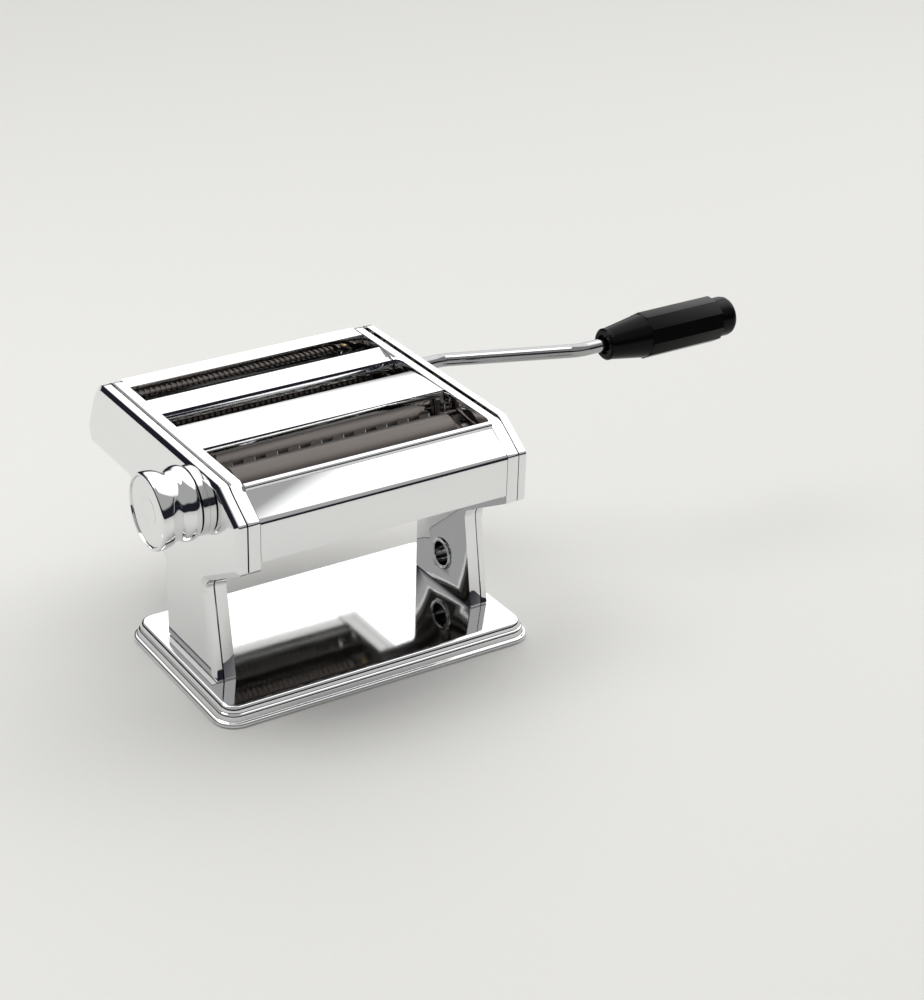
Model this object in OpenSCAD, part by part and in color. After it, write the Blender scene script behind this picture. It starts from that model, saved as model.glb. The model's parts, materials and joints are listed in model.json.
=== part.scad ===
// Hand-cranked pasta roller machine: smooth rollers in front, a wide and a fine cutter behind.
// Millimetres. X runs along the rollers, Y to the back, Z up.
// The origin is the middle of the base's underside, on the table.

/* [Rollers] */
// Length of every roller barrel
barrel_l = 152; // [120:1:200]
// Radius of the two smooth rollers
smooth_r = 14; // [12.5:0.25:17]
// Radius over the cutter discs
cutter_r = 9.75; // [9:0.25:12]
// How deep the discs of a cutter pair reach into each other
cutter_bite = 1.5; // [1:0.1:2]
// Width of a wide noodle
wide_noodle = 6.5; // [5:0.5:10]
// Width of a fine noodle
fine_noodle = 2; // [1.5:0.25:3]
// Radius of the plain journals
journal_r = 4; // [3:0.25:5]
// Radius of the smooth rollers' own journals
smooth_journal_r = 5; // [4:0.25:6]
// Radius of the shaft ends that take the crank
drive_r = 6; // [5.5:0.1:6.8]
// Depth of the crank socket
socket_depth = 20; // [15:1:24]

/* [Roller gap] */
// Closest gap between the smooth rollers
gap_min = 0.5; // [0.3:0.1:1]
// Change of the gap at each click of the knob
gap_click = 0.3; // [0.2:0.05:0.4]
// Clicks open from the closest gap, as drawn
rest_click = 3; // [0:1:9]
// Clicks that the knob has in all
click_count = 9; // [6:1:9]
// Angle between two clicks
click_angle = 36; // [30:1:36]

/* [Gears] */
// Teeth on every gear
gear_teeth = 12; // [12:2:14]
// Face width of the gears
gear_w = 7; // [5:0.5:8]
// Pressure angle
pressure_angle = 25; // [20:1:28]
// Thinning of each tooth at the pitch circle
tooth_slack = 0.2; // [0.1:0.05:0.3]

/* [Head] */
// Height of the head's top above the table
head_top = 151.4; // [145:0.2:190]
// Height of the head's lower edge above the table
head_bottom = 103.6; // [85:0.2:108]
// Depth of the roller axes below the top
axis_drop = 21.9; // [20:0.1:26]
// Distance of the knob's axis behind the origin
knob_y = -14; // [-20:0.5:-8]
// Clearance of the front gear's teeth under the slanted front
front_gear_gap = 0.6; // [0.5:0.05:3]
// Run of the slanted front, from front to back
slant_run = 24.2; // [18:0.2:28]
// Drop of the slanted front
slant_drop = 16.2; // [12:0.2:20]
// Rear roller to the centre cover's flange, with the gap open
flange_room = 3.7; // [3:0.1:6]
// Depth of the centre cover, from front to back
cover_depth = 34.5; // [26:0.5:45]
// Room of a cutter slot beyond the cutter's own width
slot_room = 3.5; // [2:0.25:6]
// Depth of the feed guide between the two cutter slots
guide_depth = 19.5; // [18:0.5:26]
// Last slot to the rear face
rear_room = 34.7; // [28:0.1:45]

/* [Side boxes] */
// Roller end to the inner wall
end_room = 8.7; // [8:0.1:12]
// Thickness of a side box over both shells
box_w = 15.3; // [15.3:0.1:20]
// Thickness of the shell sheet
shell_t = 1.2; // [0.9:0.05:1.5]
// Depth of the inner shell
inner_shell_w = 7.9; // [6:0.1:9]
// Gap of the groove between the two shells
groove_w = 0.6; // [0.4:0.1:1]
// How far the leg's outer face lies inside the head's
leg_step = 1; // [0.5:0.1:2]
// Front edge of the leg at the gusset
leg_front_top = -22; // [-26:0.5:-18]
// Front edge of the leg at the base
leg_front_foot = -33; // [-40:0.5:-28]
// Rear edge of the leg
leg_rear = 33.5; // [28:0.5:42]
// Height of the front gusset's lower end
gusset_front_z = 78; // [72:0.5:84]
// Height of the rear gusset's lower end
gusset_rear_z = 70; // [64:0.5:78]
// Where the rear gusset meets the head's lower edge
gusset_rear_y = 78; // [60:1:100]

/* [Base] */
// How far the base stands out beyond the side boxes
base_margin = 11.5; // [8:0.5:16]
// Depth of the base from front to back
base_d = 136; // [110:1:170]
// Corner radius of the base
base_corner = 15; // [10:0.5:20]
// Height of the base
base_h = 12.5; // [10:0.25:16]
// Thickness of the base sheet
base_t = 1; // [0.8:0.1:1.5]
// Radius of a rubber foot
foot_r = 9; // [6:0.5:11]

/* [Clamp hole] */
// Radius of the hole for the table clamp's arm
clamp_r = 8; // [6:0.25:9]
// Distance of the hole behind the origin
clamp_y = 2.8; // [-5:0.1:8]
// Height of the hole above the table
clamp_z = 35.6; // [30:0.2:45]

/* [Knob] */
// Largest radius of the knob
knob_r = 24.2; // [22:0.1:28]
// Length of the knob along its axis
knob_l = 27.4; // [26:0.2:34]
// How far the knob pulls out
knob_pull = 5; // [3:0.25:6]
// Radius of the boss behind the knob
boss_r = 21.6; // [20.5:0.1:21.8]
// Thickness of the boss outside the cover
boss_t = 4; // [3.5:0.1:6]

/* [Crank] */
// Radius of the crank rod
rod_r = 4.5; // [3.5:0.1:5]
// Distance of the grip's axis from the crank's own axis
crank_throw = 69.8; // [50:0.5:95]
// Angle of the crank above the level, towards the front
crank_angle = 15.7; // [-90:0.1:90]
// Right cover to the crank's first bend
crank_stub = 34; // [25:1:50]
// Run of the slanted arm along the rollers
crank_run = 63; // [40:1:90]
// Bend radius of the rod's centre line
bend_r = 12; // [8:0.5:18]
// Second bend to the grip's nose
grip_gap = 19; // [14:1:50]
// Length of the grip without its end cap
grip_l = 88; // [60:1:110]
// Largest radius of the grip, over its corners
grip_r = 15.6; // [12:0.2:18]
// Length of the grip's end cap
cap_l = 14; // [10:0.5:20]

/* [Fits] */
// Radial clearance of a shaft in a bush
run_gap = 0.05; // [0.02:0.01:0.09]
// Radial clearance of the crank in its socket and of the grip on its rod
socket_gap = 0.08; // [0.05:0.01:0.1]
// Radial clearance of a piece that is fixed in a hole
seat_gap = 0.02; // [0:0.01:0.05]
// Clearance between parts that move past each other
free_gap = 0.4; // [0.3:0.05:0.6]
// Side clearance between neighbouring cutter discs
disc_gap = 0.2; // [0.15:0.05:0.3]
// Clearance at each end of the sheet panels
panel_gap = 0.3; // [0.1:0.1:0.6]

/* [Hidden] */
$fn = 64;
over = 1;

// Stations along X
barrel_x = barrel_l / 2;
wall_x = barrel_x + end_room;
outer_x = wall_x + box_w;
groove_x = wall_x + inner_shell_w;
inside_x = outer_x - shell_t;
web_x = wall_x + shell_t;
gear_x = web_x + 3.6;
gear_end_x = gear_x + gear_w;
drive_end_x = outer_x + 0.8;
collar_end_x = outer_x + 1.2;
guard_x = barrel_x + 1.2;
guard_t = 2.5;

// Gap mechanism
open_clicks = click_count - rest_click;
rest_gap = gap_min + rest_click * gap_click;
close_travel = rest_click * gap_click;
open_travel = open_clicks * gap_click;
cam_rate = gap_click / click_angle;

// Stations along Y, from the knob's axis forwards and backwards
axis_z = head_top - axis_drop;
front_roller_y = knob_y - 2 * smooth_r - rest_gap;
smooth_cd_min = 2 * smooth_r + gap_min;
smooth_tip_r = smooth_cd_min / 2 + smooth_cd_min / gear_teeth;
slant_length = norm([slant_run, slant_drop]);
slant_reach = smooth_tip_r + front_gear_gap + shell_t;
crest_y = front_roller_y + (axis_drop * slant_run - slant_reach * slant_length) / slant_drop;
front_y = crest_y - slant_run;
slant_z = head_top - slant_drop;
nip_y = (front_roller_y + knob_y) / 2;
flange_y = knob_y + smooth_r + open_travel + flange_room;
cover_rear_y = flange_y + cover_depth;
slot_w = 2 * cutter_r + slot_room;
cutter_cd = 2 * cutter_r - cutter_bite;
wide_y = cover_rear_y + slot_w / 2;
guide_y = cover_rear_y + slot_w;
guide_rear_y = guide_y + guide_depth;
fine_y = guide_rear_y + slot_w / 2;
rear_lip_y = guide_rear_y + slot_w;
rear_y = rear_lip_y + rear_room;
groove_r = cutter_cd - cutter_r - 0.25;

// Base
base_w = 2 * (outer_x + base_margin);
base_top = base_h;
bead_in = 2.8;
shoulder_in = 4.2;
lip_t = 1.4;
bead_z = 7;

// Sheet panels
panel_t = 1;
panel_x = wall_x - panel_gap;
panel_top = head_top - 0.6;
flange_drop = 15.6;
flange_low = panel_top - flange_drop;
// How far the centre cover's front flange leans towards the rollers at its lower edge
flange_lean = 2.4;

// Crank
socket_r = rod_r + socket_gap;
crank_x1 = outer_x + crank_stub;
crank_x2 = crank_x1 + crank_run;
grip_x = crank_x2 + grip_gap;
grip_end_x = grip_x + grip_l;
rod_tip_x = drive_end_x - socket_depth + 1;
pin_x = drive_end_x - 2.2;
crank_y = fine_y - cutter_cd / 2;
arm_angle = atan2(crank_throw, crank_run);
bend_t = bend_r * tan(arm_angle / 2);

// Knob, measured outwards along -X from the boss's face
boss_x = outer_x + boss_t;
shaft_r = 5;
track_r = 15.5;
track_half = 2;
track_depth = boss_t - 1.4;
knob_gap = 0.6;
cap_r = knob_r - 2.6;
cap_t = 3;
spring_pocket_r = 9.2;
shoulder_s = 8;
pocket_end_s = knob_l - cap_t;
washer_s = pocket_end_s - 3;

// Head profile, as (y, z) points that run anticlockwise, with a corner radius each
side_points = [
    [crest_y, head_top], [front_y, slant_z], [front_y, head_bottom],
    [leg_front_top, gusset_front_z], [leg_front_foot, base_top], [leg_rear, base_top],
    [leg_rear, gusset_rear_z], [gusset_rear_y, head_bottom], [rear_y - 3.7, head_bottom],
    [rear_y, head_bottom + 12.5], [rear_y - 11, head_top - 11], [rear_y - 21, head_top]
];
side_radii = [2.5, 3, 3, 8, 1, 1, 8, 6, 3, 4, 10, 14];

// The wire in the front panel's rolled lip: y and z
lip_place = [front_y + 20.3, head_top - 3.1];
lip_wire_r = 1.6;

// Rods that tie the two inner frames together: y, z and radius
rods = [
    [front_roller_y - 2.5, axis_z - smooth_r - 5, 3],
    [flange_y + 17, head_top - 7.5, 2.5],
    [guide_y + 6.5, head_top - 9, 2.5],
    [fine_y + cutter_cd / 2 + cutter_r + 3.25, axis_z + 3, 2.5],
    [rear_y - 14, head_bottom + 7.5, 2.5]
];

// Studs that hold the outer covers on the inner frames: y and z
studs = [
    [front_y + 12.5, head_bottom + 9], [flange_y + 14, head_bottom + 13],
    [wide_y + 20, head_bottom + 7], [rear_y - 24, head_bottom + 8]
];

// ---- Plane geometry -------------------------------------------------------------------

function unit(v) = v / norm(v);
function left_of(v) = [-v[1], v[0]];
function turn_of(a, b) = atan2(a[0] * b[1] - a[1] * b[0], a * b);
function wrap(i, n) = (i + n) % n;

// Moves every edge of an anticlockwise outline inwards by d.
function inset(points, d) = [
    for (i = [0 : len(points) - 1])
        let (
            n = len(points),
            a = left_of(unit(points[i] - points[wrap(i - 1, n)])),
            b = left_of(unit(points[wrap(i + 1, n)] - points[i]))
        )
        points[i] + d * (a + b) / (1 + a * b)
];

// Rounds each corner of an outline with an arc of its own radius.
function rounded(points, radii, steps = 6) = [
    for (i = [0 : len(points) - 1])
        let (
            n = len(points),
            a = unit(points[i] - points[wrap(i - 1, n)]),
            b = unit(points[wrap(i + 1, n)] - points[i]),
            turn = turn_of(a, b),
            side = sign(turn),
            start = points[i] - a * radii[i] * tan(abs(turn) / 2),
            centre = start + side * radii[i] * left_of(a)
        )
        for (k = [0 : steps])
            let (angle = turn * k / steps, arm = start - centre)
            centre + [
                arm[0] * cos(angle) - arm[1] * sin(angle),
                arm[0] * sin(angle) + arm[1] * cos(angle)
            ]
];

function corner_turn(points, i) = turn_of(
    points[i] - points[wrap(i - 1, len(points))],
    points[wrap(i + 1, len(points))] - points[i]
);

// The side boxes' outline, moved inwards by d with its radii kept concentric.
function side_outline(d) = rounded(
    inset(side_points, d),
    [
        for (i = [0 : len(side_points) - 1])
            corner_turn(side_points, i) > 0 ? max(side_radii[i] - d, 0.4) : side_radii[i] + d
    ]
);

// A bent sheet: the path is its outer face, and the sheet lies on the path's left.
function sheet(path, t) = concat(
    path,
    [
        for (k = [0 : len(path) - 1])
            let (
                i = len(path) - 1 - k,
                a = i > 0 ? left_of(unit(path[i] - path[i - 1])) : undef,
                b = i < len(path) - 1 ? left_of(unit(path[i + 1] - path[i])) : undef,
                first = a == undef ? b : a,
                last = b == undef ? a : b
            )
            path[i] + t * (first + last) / (1 + first * last)
    ]
);

// ---- Solids along an axis -------------------------------------------------------------

// Extrudes a (y, z) outline from x0 to x1.
module along_x(x0, x1) {
    translate([x0, 0, 0])
        rotate([90, 0, 90])
            linear_extrude(x1 - x0)
                children();
}

module rod_x(x0, x1, y, z, r) {
    translate([x0, y, z])
        rotate([0, 90, 0])
            cylinder(h = x1 - x0, r = r);
}

// A ring around an axis along X.
module ring_x(x0, x1, y, z, r_out, r_in) {
    difference() {
        rod_x(x0, x1, y, z, r_out);
        rod_x(x0 - over, x1 + over, y, z, r_in);
    }
}

// Turns an outline of (radius, x) points about an axis along X.
module turned_x(y, z) {
    translate([0, y, z])
        rotate([0, 90, 0])
            rotate_extrude()
                children();
}

// A slot for a round piece that travels along Y.
module travel_slot(x0, x1, y, z, r, back, forth) {
    rod_x(x0, x1, y - back, z, r);
    rod_x(x0, x1, y + forth, z, r);
    translate([x0, y - back, z - r])
        cube([x1 - x0, back + forth, 2 * r]);
}

module both_sides() {
    children();
    mirror([1, 0, 0])
        children();
}

module slab(w, d, z0, z1, r) {
    translate([0, 0, z0])
        linear_extrude(z1 - z0)
            polygon(rounded(
                [[w / 2, -d / 2], [w / 2, d / 2], [-w / 2, d / 2], [-w / 2, -d / 2]],
                [r, r, r, r],
                8
            ));
}

// ---- Base -----------------------------------------------------------------------------

bracket_x = web_x + 0.4;
bracket_w = inside_x - leg_step - 0.4 - bracket_x;
screw_y = 18;
base_screw_r = 2;

module base_screw_places() {
    both_sides()
        for (y = [-screw_y, screw_y])
            translate([bracket_x + bracket_w / 2, y, 0])
                children();
}

module base_tray() {
    color("gainsboro")
        difference() {
            union() {
                slab(base_w, base_d, 0, lip_t, base_corner);
                slab(base_w - 2 * bead_in, base_d - 2 * bead_in, lip_t, bead_z, base_corner - bead_in);
                slab(
                    base_w - 2 * shoulder_in, base_d - 2 * shoulder_in,
                    bead_z, base_top, base_corner - shoulder_in
                );
            }
            slab(
                base_w - 2 * (shoulder_in + base_t), base_d - 2 * (shoulder_in + base_t),
                -over, base_top - base_t, base_corner - shoulder_in - base_t
            );
            base_screw_places()
                cylinder(h = base_top + over, r = base_screw_r + seat_gap);
        }
}

module base_feet() {
    foot_in = base_corner + foot_r - 3;
    color("dimgray")
        for (x = [-1, 1], y = [-1, 1])
            translate([x * (base_w / 2 - foot_in), y * (base_d / 2 - foot_in), 0])
                cylinder(h = base_top - base_t, r = foot_r);
}

bracket_h = 9;

module leg_brackets() {
    color("lightsteelblue")
        difference() {
            both_sides()
                translate([bracket_x, -screw_y - 6, base_top])
                    cube([bracket_w, 2 * screw_y + 12, bracket_h]);
            base_screw_places()
                translate([0, 0, base_top - over])
                    cylinder(h = bracket_h + 2 * over, r = base_screw_r + seat_gap);
        }
}

module base_screws() {
    head_h = 2.2;
    color("silver")
        base_screw_places() {
            translate([0, 0, base_top - base_t - head_h])
                cylinder(h = head_h, r = 4);
            translate([0, 0, base_top - base_t])
                cylinder(h = base_t + bracket_h - 1, r = base_screw_r);
        }
}

// ---- Side boxes -----------------------------------------------------------------------

// Solid between two stations, with its outer edges rounded where the head is.
module box_solid(x0, x1, d, step) {
    edge_r = max(3.5 - d, 0.5);
    intersection() {
        along_x(x0, x1)
            polygon(side_outline(d));
        union() {
            // The head, rounded along its upper outer edge.
            translate([0, rear_y + over, 0])
                rotate([90, 0, 0])
                    linear_extrude(rear_y - front_y + 2 * over)
                        polygon(rounded(
                            [
                                [x0 - over, gusset_rear_z], [x1, gusset_rear_z],
                                [x1, head_top - d], [x0 - over, head_top - d]
                            ],
                            [0.1, 0.1, edge_r, 0.1]
                        ));
            // The leg, a little thinner than the head.
            translate([x0, leg_front_foot - over, 0])
                cube([x1 - x0 - step, leg_rear - leg_front_foot + 2 * over, gusset_rear_z + over]);
        }
    }
}

// Each place that a shaft crosses the side wall: y, radius of the bush's bore.
left_shafts = [
    [front_roller_y, smooth_journal_r], [wide_y - cutter_cd / 2, journal_r],
    [wide_y + cutter_cd / 2, journal_r], [fine_y - cutter_cd / 2, journal_r],
    [fine_y + cutter_cd / 2, journal_r]
];
right_shafts = [
    [front_roller_y, drive_r], [wide_y - cutter_cd / 2, drive_r],
    [wide_y + cutter_cd / 2, journal_r], [fine_y - cutter_cd / 2, drive_r],
    [fine_y + cutter_cd / 2, journal_r]
];
drive_ys = [front_roller_y, wide_y - cutter_cd / 2, fine_y - cutter_cd / 2];
bush_wall = 1.5;
bush_flange = 1.5;
bush_end_x = web_x + 2.6;
bar_r = 3;
bar_z = axis_z - smooth_r - 5;

// Opens the foot of a leg for the bracket that stands in it.
module leg_mouth(x0, x1) {
    room = 6.5;
    translate([x0, -screw_y - room, base_top - over])
        cube([x1 - x0, 2 * (screw_y + room), shell_t + 2 * over]);
}

module inner_frame(shafts) {
    difference() {
        box_solid(wall_x, groove_x - groove_w / 2, 0, 0);
        box_solid(web_x, groove_x + over, shell_t, 0);
        leg_mouth(web_x, groove_x + over);
        for (s = shafts)
            rod_x(wall_x - over, web_x + over, s[0], axis_z, s[1] + run_gap + bush_wall + seat_gap);
        travel_slot(
            wall_x - over, web_x + over, knob_y, axis_z,
            smooth_journal_r + free_gap, close_travel, open_travel
        );
        travel_slot(
            wall_x - over, web_x + over, knob_y, bar_z,
            bar_r + free_gap, close_travel, open_travel
        );
        for (r = rods)
            rod_x(wall_x - over, web_x + over, r[0], r[1], r[2] + seat_gap);
        for (s = studs)
            rod_x(wall_x - over, web_x + over, s[0], s[1], stud_screw_r + seat_gap);
        for (p = panel_screw_places)
            rod_x(wall_x - over, web_x + over, p[0], p[1], panel_screw_r + seat_gap);
    }
}

module right_inner_frame() {
    color("gainsboro")
        difference() {
            inner_frame(right_shafts);
            rod_x(wall_x - over, web_x + over, clamp_y, clamp_z, clamp_r + sleeve_wall + seat_gap);
        }
}

module left_inner_frame() {
    color("gainsboro")
        mirror([1, 0, 0])
            inner_frame(left_shafts);
}

module outer_cover() {
    difference() {
        box_solid(groove_x + groove_w / 2, outer_x, 0, leg_step);
        box_solid(groove_x - over, inside_x, shell_t, leg_step);
        leg_mouth(groove_x - over, inside_x - leg_step);
    }
}

collar_wall = 2.4;

module right_outer_cover() {
    color("whitesmoke")
        difference() {
            outer_cover();
            for (y = drive_ys)
                rod_x(inside_x - over, outer_x + over, y, axis_z, drive_r + run_gap + collar_wall + seat_gap);
        }
}

tube_wall = 3;

module left_outer_cover() {
    color("whitesmoke")
        mirror([1, 0, 0])
            difference() {
                outer_cover();
                rod_x(
                    inside_x - over, outer_x + over, knob_y, axis_z,
                    shaft_r + run_gap + tube_wall + seat_gap
                );
            }
}

module bushes(shafts) {
    for (s = shafts)
        difference() {
            union() {
                rod_x(wall_x, bush_end_x, s[0], axis_z, s[1] + run_gap + bush_wall);
                rod_x(wall_x - bush_flange, wall_x, s[0], axis_z, s[1] + run_gap + bush_wall + 1);
            }
            rod_x(wall_x - bush_flange - over, bush_end_x + over, s[0], axis_z, s[1] + run_gap);
        }
}

module left_bushes() {
    color("goldenrod")
        mirror([1, 0, 0])
            bushes(left_shafts);
}

module right_bushes() {
    color("goldenrod")
        bushes(right_shafts);
}

module socket_collars() {
    bore = drive_r + run_gap;
    color("silver")
        for (y = drive_ys) {
            difference() {
                union() {
                    rod_x(inside_x - 0.8, outer_x, y, axis_z, bore + collar_wall);
                    rod_x(outer_x, collar_end_x, y, axis_z, bore + collar_wall + 2);
                }
                rod_x(inside_x - 2, collar_end_x + over, y, axis_z, bore);
            }
        }
}

sleeve_wall = 1.6;

module clamp_sleeve() {
    color("silver")
        difference() {
            union() {
                rod_x(wall_x, inside_x - leg_step - 0.4, clamp_y, clamp_z, clamp_r + sleeve_wall);
                rod_x(wall_x - 0.8, wall_x, clamp_y, clamp_z, clamp_r + sleeve_wall + 1);
            }
            rod_x(wall_x - 2, inside_x, clamp_y, clamp_z, clamp_r);
        }
}

// ---- Panels between the side boxes ----------------------------------------------------

lip_r = 2.6;
panel_screw_r = 1.5;

// Where the screws through the side walls hold the panels' end tabs: y and z
panel_screw_places = [
    [front_y + 4.5, head_bottom + 16], [front_y + 4.5, head_bottom + 26],
    [flange_y + 8, panel_top - 5], [flange_y + 26, panel_top - 5],
    [guide_rear_y - 4, panel_top - 6.3],
    [rear_y - 6.5, head_bottom + 14], [rear_y - 15.5, head_top - 13]
];

// A flat flange at each end of a panel, with the holes for its screws.
module end_flange(outline, places) {
    both_sides()
        difference() {
            along_x(panel_x - panel_t, panel_x)
                polygon(outline);
            for (p = places)
                rod_x(
                    panel_x - panel_t - over, panel_x + over, p[0], p[1],
                    panel_screw_r + seat_gap
                );
        }
}

function box_outline(y0, y1, z0, z1) = [[y0, z0], [y1, z0], [y1, z1], [y0, z1]];

module panel(path) {
    along_x(-panel_x, panel_x)
        polygon(sheet(path, panel_t));
}

module front_panel() {
    color("white")
        difference() {
            union() {
                panel([
                    [lip_place[0] - 2.1, lip_place[1] - 1.1], [front_y, slant_z],
                    [front_y, head_bottom + 5.5], [front_y + 8, head_bottom + 5.5]
                ]);
                rod_x(-panel_x, panel_x, lip_place[0], lip_place[1], lip_r);
                end_flange(
                    box_outline(front_y + 0.5, front_y + 8, head_bottom + 11, head_bottom + 30),
                    [panel_screw_places[0], panel_screw_places[1]]
                );
            }
            rod_x(
                -panel_x - over, panel_x + over, lip_place[0], lip_place[1],
                lip_wire_r + seat_gap
            );
        }
}

module rear_panel() {
    color("white")
        union() {
            panel([
                [rear_y - 14, head_bottom + 1.5], [rear_y - 4.3, head_bottom + 1.5],
                [rear_y - 0.5, head_bottom + 12.5], [rear_y - 11.5, head_top - 11.5],
                [rear_y - 21, head_top - 0.4], [rear_lip_y, head_top - 0.4],
                [rear_lip_y, head_top - 9]
            ]);
            end_flange(
                [
                    [rear_y - 11, head_bottom + 2], [rear_y - 4.6, head_bottom + 2],
                    [rear_y - 1, head_bottom + 12.5], [rear_y - 4.2, head_bottom + 19.5],
                    [rear_y - 11, head_bottom + 19.5]
                ],
                [panel_screw_places[5]]
            );
            end_flange(
                [
                    [rear_y - 20.5, head_top - 17], [rear_y - 9.5, head_top - 17],
                    [rear_y - 12, head_top - 11.6], [rear_y - 20.5, head_top - 1.5]
                ],
                [panel_screw_places[6]]
            );
        }
}

castle_pitch = 15.4;
castle_h = 3;

module centre_cover() {
    teeth = floor((2 * panel_x - castle_pitch) / castle_pitch);
    color("white")
        difference() {
            union() {
                panel([
                    [cover_rear_y, panel_top - 8], [cover_rear_y, panel_top],
                    [flange_y, panel_top], [flange_y - flange_lean, flange_low]
                ]);
                end_flange(
                    box_outline(flange_y + 0.5, flange_y + 13.5, panel_top - 10, panel_top - 0.5),
                    [panel_screw_places[2]]
                );
                end_flange(
                    box_outline(flange_y + 20.5, cover_rear_y - 0.5, panel_top - 10, panel_top - 0.5),
                    [panel_screw_places[3]]
                );
            }
            for (i = [0 : teeth])
                translate([
                    (i - teeth / 2) * castle_pitch - castle_pitch / 4,
                    flange_y - flange_lean - over, flange_low - over
                ])
                    cube([castle_pitch / 2, panel_t + 3 * over, castle_h + over]);
        }
}

module feed_guide() {
    color("white")
        union() {
            panel([
                [guide_rear_y, panel_top - 9], [guide_rear_y, panel_top],
                [guide_y + 3.5, panel_top - 3], [guide_y + 1.5, panel_top - 9]
            ]);
            end_flange(
                box_outline(guide_rear_y - 9, guide_rear_y - 0.5, panel_top - 10, panel_top - 2.2),
                [panel_screw_places[4]]
            );
        }
}

module panel_screws() {
    color("silver")
        both_sides()
            for (p = panel_screw_places) {
                rod_x(panel_x - panel_t, web_x, p[0], p[1], panel_screw_r);
                rod_x(web_x, web_x + 1.6, p[0], p[1], 2.8);
            }
}

nut_h = 3;

module tie_rods() {
    color("silver") {
        for (r = rods)
            rod_x(-web_x - nut_h, web_x + nut_h, r[0], r[1], r[2]);
        rod_x(-wall_x, wall_x, lip_place[0], lip_place[1], lip_wire_r);
    }
}

module tie_rod_nuts() {
    color("silver")
        both_sides()
            for (r = rods)
                difference() {
                    translate([web_x, r[0], r[1]])
                        rotate([0, 90, 0])
                            cylinder(h = nut_h, r = r[2] + 1.9, $fn = 6);
                    rod_x(web_x - over, web_x + nut_h + over, r[0], r[1], r[2] + seat_gap);
                }
}

stud_r = 3;
stud_screw_r = 1.6;

module cover_studs() {
    color("silver")
        both_sides()
            for (s = studs)
                difference() {
                    rod_x(web_x, inside_x, s[0], s[1], stud_r);
                    rod_x(web_x - over, inside_x - 2, s[0], s[1], stud_screw_r + seat_gap);
                }
}

module stud_screws() {
    color("silver")
        both_sides()
            for (s = studs) {
                rod_x(wall_x - 1.6, wall_x, s[0], s[1], 2.9);
                rod_x(wall_x, inside_x - 3, s[0], s[1], stud_screw_r);
            }
}

// ---- Guards, scrapers and combs -------------------------------------------------------

module guard_pegs(places, r) {
    for (p = places)
        rod_x(guard_x + guard_t - 0.5, wall_x, p[0], p[1], r);
}

// Rear edge of a smooth guard at a height, clear of the leaning flange.
function guard_rear(z) = flange_y - flange_lean * (panel_top - z) / flange_drop - 0.6;

module smooth_guard(journal) {
    hole = 0.6;
    top_z = axis_z + 17.5;
    rear_y_low = flange_y - 0.6;
    difference() {
        union() {
            along_x(guard_x, guard_x + guard_t)
                polygon([
                    [guard_rear(top_z), top_z], [guard_rear(top_z) - 3, top_z],
                    [rear_y_low - 5, axis_z + 9.8], [knob_y - 5, axis_z + 8.8],
                    [nip_y, axis_z + 6], [front_roller_y + 3, axis_z + 8.8],
                    [front_roller_y - 11, axis_z + 8.8], [front_roller_y - 13, axis_z - 9],
                    [front_roller_y + 7, axis_z - 12.5], [knob_y - 7, axis_z - 12.5],
                    [rear_y_low, axis_z - 9], [rear_y_low, flange_low - 2.4],
                    [guard_rear(flange_low), flange_low - 0.6]
                ]);
            guard_pegs([
                [nip_y, axis_z - 9], [rear_y_low - 5.4, axis_z + 7], [front_roller_y - 10, axis_z + 6]
            ], 2);
        }
        rod_x(guard_x - over, guard_x + guard_t + over, front_roller_y, axis_z, journal + hole);
        travel_slot(
            guard_x - over, guard_x + guard_t + over, knob_y, axis_z,
            smooth_journal_r + hole, close_travel, open_travel
        );
    }
}

module smooth_end_guards() {
    color("silver") {
        smooth_guard(drive_r);
        mirror([1, 0, 0])
            smooth_guard(smooth_journal_r);
    }
}

module cutter_guard(mid_y, journal) {
    half = cutter_cd / 2 + cutter_r + 0.2;
    difference() {
        union() {
            along_x(guard_x, guard_x + guard_t)
                polygon([
                    [mid_y - half, axis_z - 8], [mid_y + half, axis_z - 8],
                    [mid_y + half, axis_z + 6], [mid_y + half - 6, axis_z + 11],
                    [mid_y + 4, axis_z + 11], [mid_y, axis_z + 7],
                    [mid_y - 4, axis_z + 11], [mid_y - half + 6, axis_z + 11],
                    [mid_y - half, axis_z + 6]
                ]);
            guard_pegs([[mid_y, axis_z - 6.2], [mid_y + half - 2.2, axis_z + 4.5]], 1.5);
        }
        rod_x(guard_x - over, guard_x + guard_t + over, mid_y - cutter_cd / 2, axis_z, journal + 0.6);
        rod_x(guard_x - over, guard_x + guard_t + over, mid_y + cutter_cd / 2, axis_z, journal_r + 0.6);
    }
}

module cutter_end_guards() {
    color("silver")
        for (y = [wide_y, fine_y]) {
            cutter_guard(y, drive_r);
            mirror([1, 0, 0])
                cutter_guard(y, journal_r);
        }
}

scraper_l = barrel_l - 4;
scraper_t = 0.8;

// A blade that stands on a bar under a smooth roller and ends just short of the roller.
// way is 1 where the blade leans towards +Y.
module scraper(bar_y, roller_y, way) {
    reach = smooth_r + free_gap;
    tip_y = roller_y + way * reach * sin(30);
    tip_z = axis_z - reach * cos(30);
    foot_y = bar_y + way * bar_r * 0.8;
    along_x(-scraper_l / 2, scraper_l / 2)
        polygon([
            [foot_y - way * scraper_t, bar_z + bar_r * 0.7], [foot_y, bar_z - bar_r * 0.5],
            [tip_y, tip_z - 0.6], [tip_y - way * scraper_t, tip_z - 0.2]
        ]);
}

module front_scraper() {
    color("silver")
        difference() {
            scraper(rods[0][0], front_roller_y, 1);
            rod_x(-barrel_l, barrel_l, rods[0][0], rods[0][1], rods[0][2] + seat_gap);
        }
}

module rear_scraper() {
    color("silver")
        difference() {
            scraper(knob_y, knob_y, -1);
            rod_x(-barrel_l, barrel_l, knob_y, bar_z, bar_r + seat_gap);
        }
}

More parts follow.
